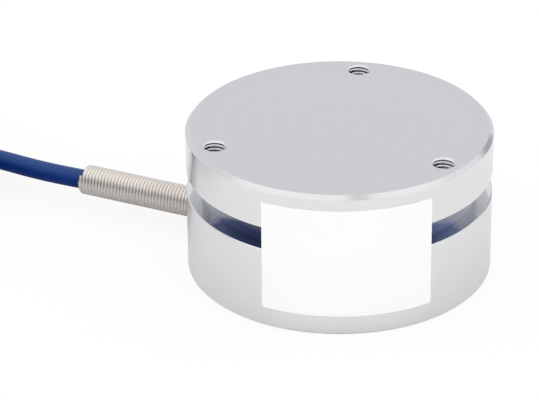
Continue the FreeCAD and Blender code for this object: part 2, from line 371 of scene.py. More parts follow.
    @staticmethod
    def smooth(piece: Piece) -> None:
        """Shade round faces smooth and keep sharp edges."""
        Bench.start(piece)
        bpy.ops.object.shade_smooth_by_angle(angle=math.radians(Bench.SMOOTH_DEG))

    @staticmethod
    def broken(corners: Sequence[tuple[float, float, float]]) -> list[Corner]:
        """Outline with a small flat cut across its sharp corners.

        Args:
            corners: (radius, height, cut) of each corner, where the cut is its reach along both sides.

        Returns:
            (radius, height) of each point.
        """
        points: list[Corner] = []
        for index, (radius, height, cut) in enumerate(corners):
            here = Vector((radius, height))
            if cut <= 0.0:
                points.append((radius, height))
                continue
            for other in (corners[index - 1], corners[(index + 1) % len(corners)]):
                points.append(tuple(here + (Vector(other[:2]) - here).normalized() * cut))
        return points


class Sheet:
    """Node tree, with short calls for the nodes that the finishes use."""

    def __init__(self, tree: bpy.types.NodeTree) -> None:
        """Wrap a node tree."""
        self.tree = tree

    def feed(self, socket: Socket, value: Feed) -> None:
        """Link a socket, or set its value.

        Args:
            socket: The input.
            value: Another node's output, or a plain value.
        """
        if isinstance(value, Socket):
            self.tree.links.new(value, socket)
        else:
            socket.default_value = value

    def node(self, kind: str, feeds: dict[Any, Feed], **settings: Any) -> Node:
        """New node.

        Args:
            kind: Node type.
            feeds: Input name or number, and what goes in.
            settings: The node's own settings.

        Returns:
            The node.
        """
        node = self.tree.nodes.new(kind)
        for key, value in settings.items():
            setattr(node, key, value)
        for key, value in feeds.items():
            self.feed(node.inputs[key], value)
        return node

    def effect(self, tree: bpy.types.NodeTree, **feeds: Feed) -> Node:
        """Shared effect, placed with its own values."""
        return self.node("ShaderNodeGroup", feeds, node_tree=tree)

    def math(self, operation: str, first: Feed, second: Feed = 0.0) -> Socket:
        """Result of one sum on two numbers."""
        return self.node("ShaderNodeMath", {0: first, 1: second}, operation=operation).outputs[0]

    def product(self, first: Feed, *others: Feed) -> Feed:
        """Several numbers multiplied.

        Args:
            first: The first number.
            others: The other numbers.

        Returns:
            The product.
        """
        for other in others:
            first = self.math("MULTIPLY", first, other)
        return first

    def ramp(self, value: Feed, span: Span, start: float = 0.0, end: float = 1.0) -> Socket:
        """Eased change of a number from one range to another.

        Args:
            value: The number.
            span: Where the change begins and where it ends.
            start: Result before the change.
            end: Result after it.

        Returns:
            The changed number.
        """
        low, high = span
        feeds = {"Value": value, "From Min": low, "From Max": high, "To Min": start, "To Max": end}
        node = self.node("ShaderNodeMapRange", feeds, interpolation_type="SMOOTHSTEP", clamp=True)
        return node.outputs["Result"]

    def turned(self, facing: Feed, span_deg: Span) -> Socket:
        """Share that grows from 0 to 1 between two angles off a direction.

        Args:
            facing: Cosine of the angle off it.
            span_deg: Angle where the share begins, and the smaller one where it is whole.

        Returns:
            The share.
        """
        start, end = (math.cos(math.radians(angle)) for angle in span_deg)
        return self.ramp(facing, (start, end))

    def bearings(self, axes: Node, angles: Sequence[float]) -> list[Socket]:
        """How far a direction faces some plan angles.

        Args:
            axes: Node that puts out the direction's X, Y and Z.
            angles: The plan angles, in degrees.

        Returns:
            The cosine of the angle off each, seen in plan.
        """
        flat = self.node("ShaderNodeCombineXYZ", {0: axes.outputs[0], 1: axes.outputs[1]})
        level = self.node("ShaderNodeVectorMath", {0: flat.outputs[0]}, operation="NORMALIZE")
        return [self.node("ShaderNodeVectorMath", {0: level.outputs[0], 1: polar(1.0, angle)},
                          operation="DOT_PRODUCT").outputs["Value"] for angle in angles]

    def blend(self, factor: Feed, first: Feed, second: Feed) -> Socket:
        """Mix of two colours.

        Args:
            factor: Share of the second.
            first: Colour at 0.
            second: Colour at 1.

        Returns:
            The mixed colour.
        """
        return self.node("ShaderNodeMix", {0: factor, 6: first, 7: second}, data_type="RGBA").outputs[2]

    def shaders(self, factor: Feed, first: Node, second: Node) -> Socket:
        """Mix of two shaders."""
        feeds = {0: factor, 1: first.outputs[0], 2: second.outputs[0]}
        return self.node("ShaderNodeMixShader", feeds).outputs[0]

    def noise(self, vector: Feed, scale: float, detail: float = 2.0) -> Socket:
        """Cloudy value between 0 and 1."""
        feeds = {"Vector": vector, "Scale": scale, "Detail": detail}
        return self.node("ShaderNodeTexNoise", feeds).outputs[0]

    def bump(self, height: Socket, depth: float) -> Socket:
        """Normal of a fine relief."""
        feeds = {"Strength": 1.0, "Distance": depth, "Height": height}
        return self.node("ShaderNodeBump", feeds).outputs[0]

    def place(self) -> Socket:
        """The piece's own coordinates, in metres."""
        return self.node("ShaderNodeTexCoord", {}).outputs["Object"]


class Effects:
    """Surface effects that several finishes share, each built once as a node group."""

    BROAD_RINGS = 0.05
    FILM_SPAN: Span = (0.35, 0.7)
    SPECK_SPAN: Span = (0.72, 0.8)
    SPECK_SCALE = 23.0

    @staticmethod
    def group(name: str, size: str, outputs: Sequence[str]) -> tuple[Sheet, Node, Node]:
        """Empty group with its sockets.

        Args:
            name: Group's name.
            size: Name of the input for the effect's size, next to Place.
            outputs: Name of each value put out.

        Returns:
            The group's sheet, its input node and its output node.
        """
        tree = bpy.data.node_groups.new(name, "ShaderNodeTree")
        tree.interface.new_socket(name="Place", in_out="INPUT", socket_type="NodeSocketVector")
        tree.interface.new_socket(name=size, in_out="INPUT", socket_type="NodeSocketFloat")
        for key in outputs:
            tree.interface.new_socket(name=key, in_out="OUTPUT", socket_type="NodeSocketFloat")
        sheet = Sheet(tree)
        return sheet, sheet.node("NodeGroupInput", {}), sheet.node("NodeGroupOutput", {})

    @staticmethod
    @cache
    def turning_marks() -> bpy.types.NodeTree:
        """Fine rings that a lathe tool leaves about the Z axis, on faces and on walls.

        Returns:
            Group with Place and Pitch in, Height and Tone out.
        """
        sheet, inlet, outlet = Effects.group("turning_marks", "Pitch", ("Height", "Tone"))
        axes = sheet.node("ShaderNodeSeparateXYZ", {0: inlet.outputs["Place"]})
        flat = sheet.node("ShaderNodeCombineXYZ", {0: axes.outputs[0], 1: axes.outputs[1]})
        radius = sheet.node("ShaderNodeVectorMath", {0: flat.outputs[0]}, operation="LENGTH")
        along = sheet.math("ADD", radius.outputs["Value"], axes.outputs[2])
        track = sheet.math("DIVIDE", along, inlet.outputs["Pitch"])
        for key, scale, detail in (("Height", 1.0, 1.0), ("Tone", Effects.BROAD_RINGS, 2.0)):
            feeds = {"W": track, "Scale": scale, "Detail": detail}
            rings = sheet.node("ShaderNodeTexNoise", feeds, noise_dimensions="1D")
            sheet.feed(outlet.inputs[key], rings.outputs[0])
        return sheet.tree

    @staticmethod
    @cache
    def handling() -> bpy.types.NodeTree:
        """Faint cloudy film and small specks that handling leaves.

        Returns:
            Group with Place and Size in, Film and Speck out.
        """
        sheet, inlet, outlet = Effects.group("handling", "Size", ("Film", "Speck"))
        scaled = sheet.node("ShaderNodeVectorMath", {0: inlet.outputs["Place"]}, operation="SCALE")
        sheet.feed(scaled.inputs["Scale"], sheet.math("DIVIDE", 1.0, inlet.outputs["Size"]))
        film = sheet.noise(scaled.outputs[0], 1.0, 4.0)
        specks = sheet.noise(scaled.outputs[0], Effects.SPECK_SCALE, 1.0)
        sheet.feed(outlet.inputs["Film"], sheet.ramp(film, Effects.FILM_SPAN))
        sheet.feed(outlet.inputs["Speck"], sheet.ramp(specks, Effects.SPECK_SPAN))
        return sheet.tree


@dataclass(frozen=True)
class Surface:
    """Named finish that is laid on the shader of a new material."""

    name: str

    def make(self) -> bpy.types.Material:
        """Build the material.

        Returns:
            The material.
        """
        material = bpy.data.materials.new(self.name)
        material.use_nodes = True
        self.lay(Sheet(material.node_tree), material.node_tree.nodes["Principled BSDF"])
        return material

    def lay(self, sheet: Sheet, bsdf: Node) -> None:
        """Lay the finish's nodes, as each kind of finish does in its own way."""
        raise NotImplementedError


@dataclass(frozen=True)
class SteelFinish(Surface):
    """Machined or drawn metal: rings of the tool, a faint film, and a tint."""

    tint: Colour
    roughness: float
    swing: float = 0.03
    pitch: float = 0.25 * MM
    depth: float = 0.0
    mottle: float = 0.03
    limb: Colour = (1.0, 1.0, 1.0)
    film_size: float = 9.0 * MM
    smear: float = 0.5

    def lay(self, sheet: Sheet, bsdf: Node) -> None:
        """Lay the finish's nodes.

        Args:
            sheet: The material's node tree.
            bsdf: Its shader.
        """
        place = sheet.place()
        marks = sheet.effect(Effects.turning_marks(), Place=place, Pitch=self.pitch)
        film = sheet.effect(Effects.handling(), Place=place, Size=self.film_size).outputs["Film"]
        worn = sheet.blend(marks.outputs["Tone"], rgba(self.tint, self.mottle), rgba(self.tint))
        smeared = rgba(self.tint, self.smear * self.mottle)
        share = sheet.math("MULTIPLY", film, self.smear)
        sheet.feed(bsdf.inputs["Base Color"], sheet.blend(share, worn, smeared))
        rough = sheet.ramp(film, WHOLE, self.roughness, self.roughness + self.swing)
        sheet.feed(bsdf.inputs["Roughness"], rough)
        bsdf.inputs["Metallic"].default_value = 1.0
        bsdf.inputs["Specular Tint"].default_value = rgba(self.limb)
        if self.depth > 0.0:
            sheet.feed(bsdf.inputs["Normal"], sheet.bump(marks.outputs["Height"], self.depth))


@dataclass(frozen=True)
class MouldedFinish(Surface):
    """Plastic, rubber or enamel: a colour with faint variation, fine grain and some gloss."""

    colour: Colour
    roughness: float
    grain: float = 0.35 * MM
    depth: float = 0.01 * MM
    variation: float = 0.12
    gloss: float = 0.5
    # Optional paler colour painted on upward faces as light from above.
    painted_top_light: Optional[Colour] = None
    film_size: float = 14.0 * MM
    swing: float = 0.05
    speck: float = 0.5
    speck_lift: float = 0.25

    def lay(self, sheet: Sheet, bsdf: Node) -> None:
        """Lay the finish's nodes.

        Args:
            sheet: The material's node tree.
            bsdf: Its shader.
        """
        place = sheet.place()
        film = sheet.effect(Effects.handling(), Place=place, Size=self.film_size)
        tone = sheet.blend(film.outputs["Film"], rgba(self.colour, self.variation), rgba(self.colour))
        # Painted top light: faces that look up blend to the paler colour.
        if self.painted_top_light is not None:
            lie = sheet.node("ShaderNodeTexCoord", {}).outputs["Normal"]
            upward = sheet.node("ShaderNodeSeparateXYZ", {0: lie}).outputs[2]
            tone = sheet.blend(sheet.ramp(upward, WHOLE), tone, rgba(self.painted_top_light))
        lift = self.speck_lift * self.variation
        pale = tuple(channel + (1.0 - channel) * lift for channel in self.colour)
        share = sheet.math("MULTIPLY", film.outputs["Speck"], self.speck)
        sheet.feed(bsdf.inputs["Base Color"], sheet.blend(share, tone, rgba(pale)))
        grain = sheet.noise(place, 1.0 / self.grain)
        rough = sheet.ramp(grain, NOISE_SPAN, self.roughness - self.swing, self.roughness + self.swing)
        sheet.feed(bsdf.inputs["Roughness"], rough)
        sheet.feed(bsdf.inputs["Normal"], sheet.bump(grain, self.depth))
        bsdf.inputs["Specular IOR Level"].default_value = self.gloss


@dataclass(frozen=True)
class WovenFinish(Surface):
    """Glass laminate or foil with a crossed thread pattern under its surface."""

    colour: Colour
    thread_colour: Colour
    pitch: float
    roughness: float
    metallic: float = 0.0
    swing: float = 0.1
    waver: float = 0.4
    wave_scale: float = 0.3183

    def lay(self, sheet: Sheet, bsdf: Node) -> None:
        """Lay the finish's nodes.

        Args:
            sheet: The material's node tree.
            bsdf: Its shader.
        """
        feeds = {"Vector": sheet.place(), "Scale": self.wave_scale / self.pitch,
                 "Distortion": self.waver, "Detail": 1.0}
        threads = [sheet.node("ShaderNodeTexWave", feeds, bands_direction=way).outputs[1] for way in "XY"]
        weave = sheet.product(*threads)
        tone = sheet.blend(weave, rgba(self.colour), rgba(self.thread_colour))
        sheet.feed(bsdf.inputs["Base Color"], tone)
        rough = sheet.ramp(weave, WHOLE, self.roughness, self.roughness + self.swing)
        sheet.feed(bsdf.inputs["Roughness"], rough)
        bsdf.inputs["Metallic"].default_value = self.metallic


@dataclass(frozen=True)
class PaintedShadeFinish(Surface):
    """Painted shade and painted reflection on a groove face: a dark blue sector facing the front stands
    for the groove's shade and the dark front that it reflects, deep at its core, fading to its sloping
    ends; outside it the face has its under colour.
    """

    # fading and deep are the painted shade colours of the front sector; under is the colour outside it.
    fading: Colour
    under: Colour
    roughness: float
    slope: float
    # Metallic outside the painted shade sector; inside it the face is not metal.
    bare: float = 0.0
    deep: Colour = (0.042, 0.060, 0.150)
    front_deg: float = -68.0
    end_deg: Span = (52.5, 46.0)
    core_front_deg: float = -75.0
    core_deg: Span = (63.0, 28.0)
    middle: float = 23.8 * MM
    pitch: float = 0.3 * MM
    streak: float = 0.35
    swing: float = 0.04

    def lay(self, sheet: Sheet, bsdf: Node) -> None:
        """Lay the finish's nodes.

        Args:
            sheet: The material's node tree.
            bsdf: Its shader.
        """
        place = sheet.place()
        axes = sheet.node("ShaderNodeSeparateXYZ", {0: place})
        facing, inward = sheet.bearings(axes, (self.front_deg, self.core_front_deg))
        rise = sheet.math("SUBTRACT", axes.outputs[2], self.middle)
        border = sheet.math("SUBTRACT", facing, sheet.math("MULTIPLY", rise, self.slope))
        # Share of the painted shade sector, whose ends slope with height.
        shade_share = sheet.turned(border, self.end_deg)
        core = sheet.turned(inward, self.core_deg)
        marks = sheet.effect(Effects.turning_marks(), Place=place, Pitch=self.pitch)
        tones = [sheet.blend(marks.outputs["Height"], rgba(colour, self.streak), rgba(colour))
                 for colour in (self.fading, self.deep)]
        # Painted shade tone: the fading colour, deepening to the deep colour at the sector's core.
        shade_tone = sheet.blend(core, *tones)
        sheet.feed(bsdf.inputs["Base Color"], sheet.blend(shade_share, rgba(self.under), shade_tone))
        rough = sheet.ramp(marks.outputs["Tone"], NOISE_SPAN, self.roughness, self.roughness + self.swing)
        sheet.feed(bsdf.inputs["Roughness"], rough)
        # Outside the painted shade sector the face can go back to bare metal.
        if self.bare > 0.0:
            sheet.feed(bsdf.inputs["Metallic"], sheet.ramp(shade_share, WHOLE, self.bare, 0.0))


class Finish(Enum):
    """Finishes by the surfaces that they are on."""

    TURNED_WALL = SteelFinish("turned_wall", (0.85, 0.85, 0.855), 0.14, 0.02, 0.2 * MM,
                              limb=(0.98, 0.98, 1.0))
    CUT_EDGE = SteelFinish("cut_edge", (0.61, 0.61, 0.62), 0.15, 0.03)
    LOAD_FACE = SteelFinish("load_face", (0.612, 0.626, 0.668), 0.3, 0.03, 0.3 * MM)
    GROOVE = SteelFinish("groove_ledge", (0.73, 0.735, 0.76), 0.12, 0.04, 0.2 * MM)
    # Painted shade and reflection: the waist is all painted, dark blue in the front sector and a dull
    # blue-grey elsewhere; the lower ledge is painted dark blue in that sector and is bare steel outside
    # it.
    WAIST = PaintedShadeFinish("waist_painted_shade", (0.20, 0.26, 0.48), (0.27, 0.29, 0.35), 0.16, 63.0)
    LEDGE = PaintedShadeFinish("ledge_painted_shade", (0.17, 0.22, 0.43), (0.73, 0.735, 0.76), 0.12, 45.0, bare=1.0)
    TAPPED_BORE = SteelFinish("tapped_bore", (0.50, 0.50, 0.53), 0.14, 0.05)
    COVER_PLATE = SteelFinish("cover_plate", (0.62, 0.62, 0.62), 0.3, 0.05, 0.4 * MM, 0.002 * MM)
    BRIGHT_STEEL = SteelFinish("plated_screw", (0.46, 0.45, 0.43), 0.22)
    SPRING_WIRE = SteelFinish("spring_wire", (0.665, 0.625, 0.585), 0.3, 0.06)
    BRASS = SteelFinish("turned_brass", (0.70, 0.52, 0.22), 0.28)
    TINNED_COPPER = SteelFinish("tinned_strand", (0.66, 0.64, 0.60), 0.3)
    GASKET = MouldedFinish("moulded_rubber", (0.03, 0.03, 0.032), 0.65)
    # The jacket's top is painted paler blue as light from above.
    JACKET = MouldedFinish("blue_jacket", (0.001, 0.024, 0.165), 0.4, 0.5 * MM, 0.006 * MM, 0.15,
                           gloss=0.08, painted_top_light=(0.026, 0.066, 0.225))
    LABEL = MouldedFinish("white_film", (0.965, 0.965, 0.965), 0.42, 0.25 * MM, 0.001 * MM, 0.015)
    TIE = MouldedFinish("black_nylon", (0.03, 0.03, 0.032), 0.42)
    CHIP = MouldedFinish("chip_glaze", (0.025, 0.025, 0.027), 0.5)
    ENAMEL = MouldedFinish("wire_lacquer", (0.30, 0.09, 0.03), 0.3)
    RED = MouldedFinish("red_core", (0.46, 0.02, 0.02), 0.4)
    BLACK = MouldedFinish("black_core", (0.02, 0.02, 0.02), 0.4)
    GREEN = MouldedFinish("green_core", (0.02, 0.22, 0.06), 0.4)
    WHITE = MouldedFinish("white_core", (0.78, 0.78, 0.76), 0.4)
    BOARD = WovenFinish("glass_laminate", (0.015, 0.11, 0.05), (0.03, 0.16, 0.07), 0.5 * MM, 0.35)
    GAUGE = WovenFinish("gauge_film", (0.50, 0.27, 0.06), (0.62, 0.45, 0.25), 0.3 * MM, 0.35, 0.3)

    @cache
    def material(self) -> bpy.types.Material:
        """The finish's material, built on first use."""
        return self.value.make()


class Frame:
    """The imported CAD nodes, and how pieces are set against them."""

    @staticmethod
    def dress(node: str, finish: Finish) -> None:
        """Give a CAD node its material.

        Args:
            node: The node's name.
            finish: Its finish.
        """
        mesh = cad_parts[node].data
        mesh.materials.clear()
        mesh.materials.append(finish.material())
        LOG.info("node %s: %s", node, finish.value.name)

    @staticmethod
    def settle(piece: Piece, slot: str, nodes: Sequence[str] = ()) -> None:
        """Let a new piece ride on the body, log its slot's name and hide the nodes that it stands for.

        Args:
            piece: The piece.
            slot: The record's material slot.
            nodes: The CAD nodes that it replaces.
        """
        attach(piece, ROOT)
        if nodes:
            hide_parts(*nodes)
        LOG.info("piece %s: slot %s, stands for %s", piece.name, slot, ", ".join(nodes) or "no node")


@dataclass(frozen=True)
class HoleRow:
    """One round of blind tapped holes."""

    core: float
    thread: float
    pitch: float
    circle: float
    depth: float
    first_deg: float
    upward: bool
    count: int = 3
    flare: float = 0.65 * MM
    sink: float = 0.45 * MM
    tip_deg: float = 118.0
    tip_room: float = 1.3
    root_share: float = 0.0625
    crest_share: float = 0.36
    flank_deg: float = 30.0
    crest_deg: float = 50.0
    lap: float = 0.02 * MM
    near: float = 0.02 * MM
    skin: float = 0.001 * MM
    steps: int = 72
    groove_steps: int = 60

    def places(self, height: float) -> list[Matrix]:
        """Places of the holes.

        Args:
            height: Height of the face that they go into.

        Returns:
            One matrix for each hole.
        """
        turn = Matrix.Rotation(math.pi, 4, "X") if self.upward else Matrix.Identity(4)
        return [Matrix.Translation(polar(self.circle, angle, height)) @ turn
                for angle in ring_angles(self.count, self.first_deg)]

    def form(self) -> Piece:
        """Form of one hole down from z = 0: countersink, core, drill tip and thread groove.

        Returns:
            The closed form.
        """
        tip = self.depth + self.core / math.tan(math.radians(self.tip_deg / 2))
        corners = [(0.0, self.sink), (self.core + 2 * self.flare, self.sink), (self.core, -self.sink),
                   (self.core, -self.depth), (0.0, -tip)]
        hole = Bench.lathe("hole_form", corners, self.steps)
        rounding = self.crest_share * (self.thread - self.core)
        root = self.root_share * self.pitch
        flank = root + (self.thread - self.core - rounding) * math.tan(math.radians(self.flank_deg))
        crest = flank + (rounding + self.lap) * math.tan(math.radians(self.crest_deg))
        half = [(self.core - self.lap, crest), (self.core + rounding, flank), (self.thread, root)]
        corners = [(radius, self.pitch - width) for radius, width in half]
        corners += [(radius, self.pitch + width) for radius, width in reversed(half)]
        groove = Bench.section("thread_groove", corners)
        Bench.wind(groove, "Z", -self.pitch, int(self.depth / self.pitch), self.groove_steps)
        Bench.combine(hole, groove, Merge.ADD)
        return hole

    def finish(self, point: Vector, height: float) -> Optional[Finish]:
        """Finish that the holes give to a point of the body.

        Args:
            point: The point.
            height: Height of the face that the holes go into.

        Returns:
            The finish of the thread or of the countersink, or nothing off the holes.
        """
        below = abs(point.z - height)
        if not self.skin < below < self.tip_room * self.depth:
            return None
        for angle in ring_angles(self.count, self.first_deg):
            off = (point - polar(self.circle, angle, point.z)).length
            if abs(off - self.core - self.flare * (1.0 - below / self.sink)) < self.near:
                return Finish.CUT_EDGE
            if off < self.thread + self.near:
                return Finish.TAPPED_BORE
        return None


@dataclass
class SensingBody:
    """One-piece turned body: load plate, waist groove, base, tapped holes and cable hole."""

    radius: float = 40.0 * MM
    base_height: float = 21.8 * MM
    groove_height: float = 6.0 * MM
    plate_height: float = 11.5 * MM
    waist_radius: float = 36.0 * MM
    cavity_radius: float = 26.5 * MM
    cavity_rise: float = 1.2 * MM
    recess_radius: float = 30.6 * MM
    recess_depth: float = 3.0 * MM
    chamfer: float = 1.05 * MM
    edge_break: float = 0.3 * MM
    plate_holes: HoleRow = HoleRow(2.5 * MM, 3.0 * MM, 1.0 * MM, 34.0 * MM, 8.5 * MM, 105.0, False)
    foot_holes: HoleRow = HoleRow(2.1 * MM, 2.5 * MM, 0.8 * MM, 35.3 * MM, 12.0 * MM, 0.0, True)
    pilot_radius: float = 1.05 * MM
    pilot_circle: float = 28.55 * MM
    pilot_end: float = 8.0 * MM
    pilot_count: int = 6
    pilot_deg: float = 30.0
    pilot_steps: int = 32
    cable_height: float = 7.25 * MM
    guard_hole: float = 4.25 * MM
    guard_step: float = 31.0 * MM
    cable_hole: float = 3.0 * MM
    inner_lap: float = 3.0 * MM
    outer_lap: float = 5.0 * MM
    hole_steps: int = 64
    steps: int = 224
    level: float = 0.99
    upright: float = 0.1
    near: float = 0.01 * MM
    zones: tuple[Finish, ...] = (Finish.TURNED_WALL, Finish.LOAD_FACE, Finish.GROOVE, Finish.WAIST,
                                 Finish.LEDGE, Finish.TAPPED_BORE, Finish.CUT_EDGE)

    @property
    def groove_top(self) -> float:
        """Height of the load plate's underside."""
        return self.base_height + self.groove_height

    @property
    def height(self) -> float:
        """Height of the whole body."""
        return self.groove_top + self.plate_height

    def turn(self) -> Piece:
        """Turn the body's section, with its edges broken.

        Returns:
            The turned body.
        """
        cavity_top = self.groove_top + self.cavity_rise
        edge = self.edge_break
        corners = [
            (self.cavity_radius, self.recess_depth, 0.0), (self.recess_radius, self.recess_depth, 0.0),
            (self.recess_radius, 0.0, 0.0), (self.radius, 0.0, edge),
            (self.radius, self.base_height, edge), (self.waist_radius, self.base_height, 0.0),
            (self.waist_radius, self.groove_top, 0.0), (self.radius, self.groove_top, edge),
            (self.radius, self.height, self.chamfer), (0.0, self.height, 0.0), (0.0, cavity_top, 0.0),
            (self.cavity_radius, cavity_top, 0.0)]
        return Bench.lathe("sensing_body_turned", Bench.broken(corners), self.steps)

    def side_hole(self, radius: float, start: float) -> Piece:
        """Form of a level hole along -X, at the cable's height.

        Args:
            radius: Radius of the hole.
            start: Where it begins, off the axis.

        Returns:
            The closed form, which ends outside the body.
        """
        length = self.radius + self.outer_lap - start
        piece = Bench.rod("side_hole", radius, length, self.hole_steps)
        place = Matrix.Translation((-start, 0.0, self.cable_height))
        piece.data.transform(place @ Matrix.Rotation(-math.pi / 2, 4, "Y"))
        return piece

    def hole_rows(self) -> list[tuple[HoleRow, float]]:
        """The two rounds of tapped holes, with the height of the face that each goes into."""
        return [(self.plate_holes, self.height), (self.foot_holes, 0.0)]

    def drill(self, body: Piece) -> None:
        """Cut every hole in the turned body.

        Args:
            body: The turned body.
        """
        cutters = []
        for row, height in self.hole_rows():
            cutters += Bench.copies(row.form(), row.places(height))
        pilot = Bench.rod("pilot", self.pilot_radius, self.pilot_end, self.pilot_steps)
        angles = ring_angles(self.pilot_count, self.pilot_deg)
        cutters += Bench.copies(pilot, [Matrix.Translation(polar(self.pilot_circle, angle))
                                        for angle in angles])
        cutters.append(self.side_hole(self.guard_hole, self.guard_step))
        cutters.append(self.side_hole(self.cable_hole, self.cavity_radius - self.inner_lap))
        for cutter in cutters:
            Bench.combine(body, cutter, Merge.CUT)

    def finish(self, face: Face) -> Finish:
        """Finish of one face of the drilled body.

        Args:
            face: The face.

        Returns:
            Its finish.
        """
        centre = face.center
        lean = abs(face.normal.z)
        tapped = [row.finish(centre, height) for row, height in self.hole_rows()]
        if Finish.TAPPED_BORE in tapped:
            return Finish.TAPPED_BORE
        if lean > self.level and centre.z > self.height - self.near:
            return Finish.LOAD_FACE
        edge = self.edge_break
        in_groove = self.base_height - self.near < centre.z < self.groove_top + self.near
        if in_groove and self.waist_radius - edge < centre.xy.length < self.radius - edge:
            # Waist faces and upward ledge faces take the finishes with painted shade.
            if lean < self.upright:
                return Finish.WAIST
            return Finish.GROOVE if face.normal.z < 0.0 else Finish.LEDGE
        if Finish.CUT_EDGE in tapped or self.upright < lean < self.level:
            return Finish.CUT_EDGE
        return Finish.TURNED_WALL

    def dress(self, body: Piece) -> None:
        """Give each zone of the body its finish, and keep the load face flat up to its holes.

        Args:
            body: The drilled body.
        """
        mesh = body.data
        mesh.materials.clear()
        for finish in self.zones:
            mesh.materials.append(finish.material())
        Bench.smooth(body)
        for face in mesh.polygons:
            finish = self.finish(face)
            face.material_index = self.zones.index(finish)
            if finish is Finish.LOAD_FACE:
                face.use_smooth = False

    def build(self) -> None:
        """Make the body with its holes."""
        body = self.turn()
        self.drill(body)
        Bench.tidy(body)
        self.dress(body)
        Frame.settle(body, "body_steel", ["sensing_body"])


@dataclass
class SpringGuard:
    """Close-wound wire guard on the cable's exit."""

    wire_across: float = 0.44 * MM
    wire_along: float = 0.55 * MM
    outer_radius: float = 4.15 * MM
    turns: int = 43
    first_x: float = -33.5 * MM
    mouth_x: float = -76.6 * MM
    height: float = 7.25 * MM
    end_deg: float = 50.0
    wire_sides: int = 14
    steps: int = 40

    def build(self) -> Piece:
        """Wind the wire and set it in its hole.

        Returns:
            The spring.
        """
        Bench.start()
        middle = self.outer_radius - self.wire_across
        bpy.ops.mesh.primitive_circle_add(vertices=self.wire_sides, radius=self.wire_across,
                                          location=(0.0, 0.0, middle), rotation=(math.pi / 2, 0.0, 0.0))
        spring = Bench.added("spring_wire_guard")
        spring.scale.x = self.wire_along / self.wire_across
        bpy.ops.object.transform_apply(location=True, rotation=True, scale=True)
        inset = self.wire_along
        pitch = (self.mouth_x - self.first_x + 2 * inset) / self.turns
        Bench.wind(spring, "X", pitch, self.turns, self.steps)
        place = Matrix.Translation((self.first_x - inset, 0.0, self.height))
        spring.data.transform(place @ Matrix.Rotation(math.radians(self.end_deg), 4, "X"))
        spring.data.materials.append(Finish.SPRING_WIRE.material())
        Bench.smooth(spring)
        Frame.settle(spring, "spring_steel", ["spring_guard"])
        return spring


